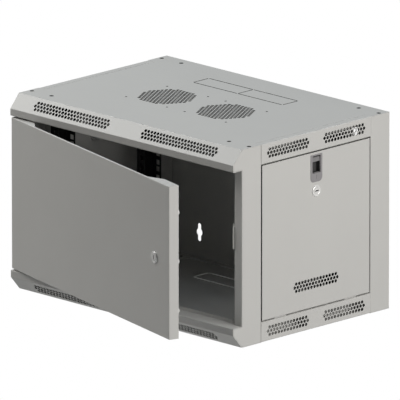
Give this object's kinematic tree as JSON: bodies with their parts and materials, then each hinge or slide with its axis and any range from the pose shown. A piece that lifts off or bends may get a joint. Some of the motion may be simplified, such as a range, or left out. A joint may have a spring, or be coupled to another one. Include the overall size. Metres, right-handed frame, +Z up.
{
  "type": "wall mount network cabinet",
  "caption": "Wall mount network cabinet: sheet-metal frame with vented front bars, swing door with cam lock, tilting side panels with slide latches, and square-hole rack rails.",
  "frame": {"origin": "middle of the back face, where the cabinet meets the wall", "axes": "+X to the right as seen from the front, +Y into the wall, +Z up; the front faces -Y"},
  "size_m": [0.575, 0.5392, 0.368],
  "materials": {
    "body_paint": "fine textured light grey powder coat",
    "rack_black": "fine textured black powder coat",
    "black_screw": "black oxide",
    "zinc": "bright zinc plate",
    "lock_chrome": "satin nickel plate",
    "spring_steel": "drawn spring wire",
    "latch_grey": "moulded mid grey plastic",
    "latch_slider_grey": "moulded grey plastic",
    "bumper_white": "soft white rubber"
  },
  "bodies": {
    "cabinet": {"back_panel": "body_paint", "bottom_panel": "body_paint", "bottom_screws": "black_screw", "left_bottom_depth_bracket": "rack_black", "left_bottom_side_rail": "body_paint", "left_front_post": "body_paint", "left_front_rack_rail": "rack_black", "left_rear_post": "body_paint", "left_rear_rack_rail": "rack_black", "left_top_depth_bracket": "rack_black", "left_top_side_rail": "body_paint", "lock_strike": "zinc", "lower_hinge_pin": "zinc", "rack_bolts": "zinc", "right_bottom_depth_bracket": "rack_black", "right_bottom_side_rail": "body_paint", "right_front_post": "body_paint", "right_front_rack_rail": "rack_black", "right_rear_post": "body_paint", "right_rear_rack_rail": "rack_black", "right_top_depth_bracket": "rack_black", "right_top_side_rail": "body_paint", "top_panel": "body_paint", "top_screws": "black_screw"},
    "door": {"door_panel": "body_paint", "door_bumpers": "bumper_white", "hinge_guide": "body_paint", "door_lock_barrel": "lock_chrome", "door_lock_nut": "zinc"},
    "door_cam": {"door_lock_plug": "lock_chrome", "door_lock_cam": "zinc", "door_cam_screw": "zinc"},
    "hinge_pin": {"spring_pin": "zinc", "hinge_spring": "spring_steel"},
    "right_panel": {"right_side_panel": "body_paint", "right_latch_housing": "latch_grey", "right_lock_barrel": "lock_chrome", "right_lock_nut": "zinc"},
    "right_slider": {"right_latch_slider": "latch_slider_grey", "right_latch_tongue": "zinc"},
    "right_cam": {"right_lock_plug": "lock_chrome", "right_lock_cam": "zinc", "right_cam_screw": "zinc"},
    "left_panel": {"left_side_panel": "body_paint", "left_latch_housing": "latch_grey", "left_lock_barrel": "lock_chrome", "left_lock_nut": "zinc"},
    "left_slider": {"left_latch_slider": "latch_slider_grey", "left_latch_tongue": "zinc"},
    "left_cam": {"left_lock_plug": "lock_chrome", "left_lock_cam": "zinc", "left_cam_screw": "zinc"}
  },
  "joints": [
    {"name": "door_hinge", "type": "hinge", "parent": "cabinet", "child": "door", "pos_m": [-0.276, -0.391, 0], "axis": [0, 0, -1], "range_deg": [-14.5, 95.5]},
    {"name": "door_cam_turn", "type": "hinge", "parent": "door", "child": "door_cam", "pos_m": [0.21308, -0.52678, 0], "axis": [0.2504, 0.9681, 0], "range_deg": [0, 90]},
    {"name": "hinge_pin_slide", "type": "slide", "parent": "door", "child": "hinge_pin", "axis": [0, 0, -1], "range_m": [0, 0.007], "stiffness_N_per_m": 400, "springref_m": -0.006, "deforming": ["hinge_spring"]},
    {"name": "right_panel_tilt", "type": "hinge", "parent": "cabinet", "child": "right_panel", "pos_m": [0.283, -0.188, -0.1462], "axis": [0, 1, 0], "range_deg": [0, 25]},
    {"name": "right_latch_slide", "type": "slide", "parent": "right_panel", "child": "right_slider", "axis": [0, 0, 1], "range_m": [0, 0.007]},
    {"name": "right_cam_turn", "type": "hinge", "parent": "right_panel", "child": "right_cam", "pos_m": [0.285, -0.188, 0.0726], "axis": [1, 0, 0], "range_deg": [0, 90]},
    {"name": "left_panel_tilt", "type": "hinge", "parent": "cabinet", "child": "left_panel", "pos_m": [-0.283, -0.188, -0.1462], "axis": [0, -1, 0], "range_deg": [0, 25]},
    {"name": "left_latch_slide", "type": "slide", "parent": "left_panel", "child": "left_slider", "axis": [0, 0, 1], "range_m": [0, 0.007]},
    {"name": "left_cam_turn", "type": "hinge", "parent": "left_panel", "child": "left_cam", "pos_m": [-0.285, -0.188, 0.0726], "axis": [1, 0, 0], "range_deg": [0, 90]}
  ]
}
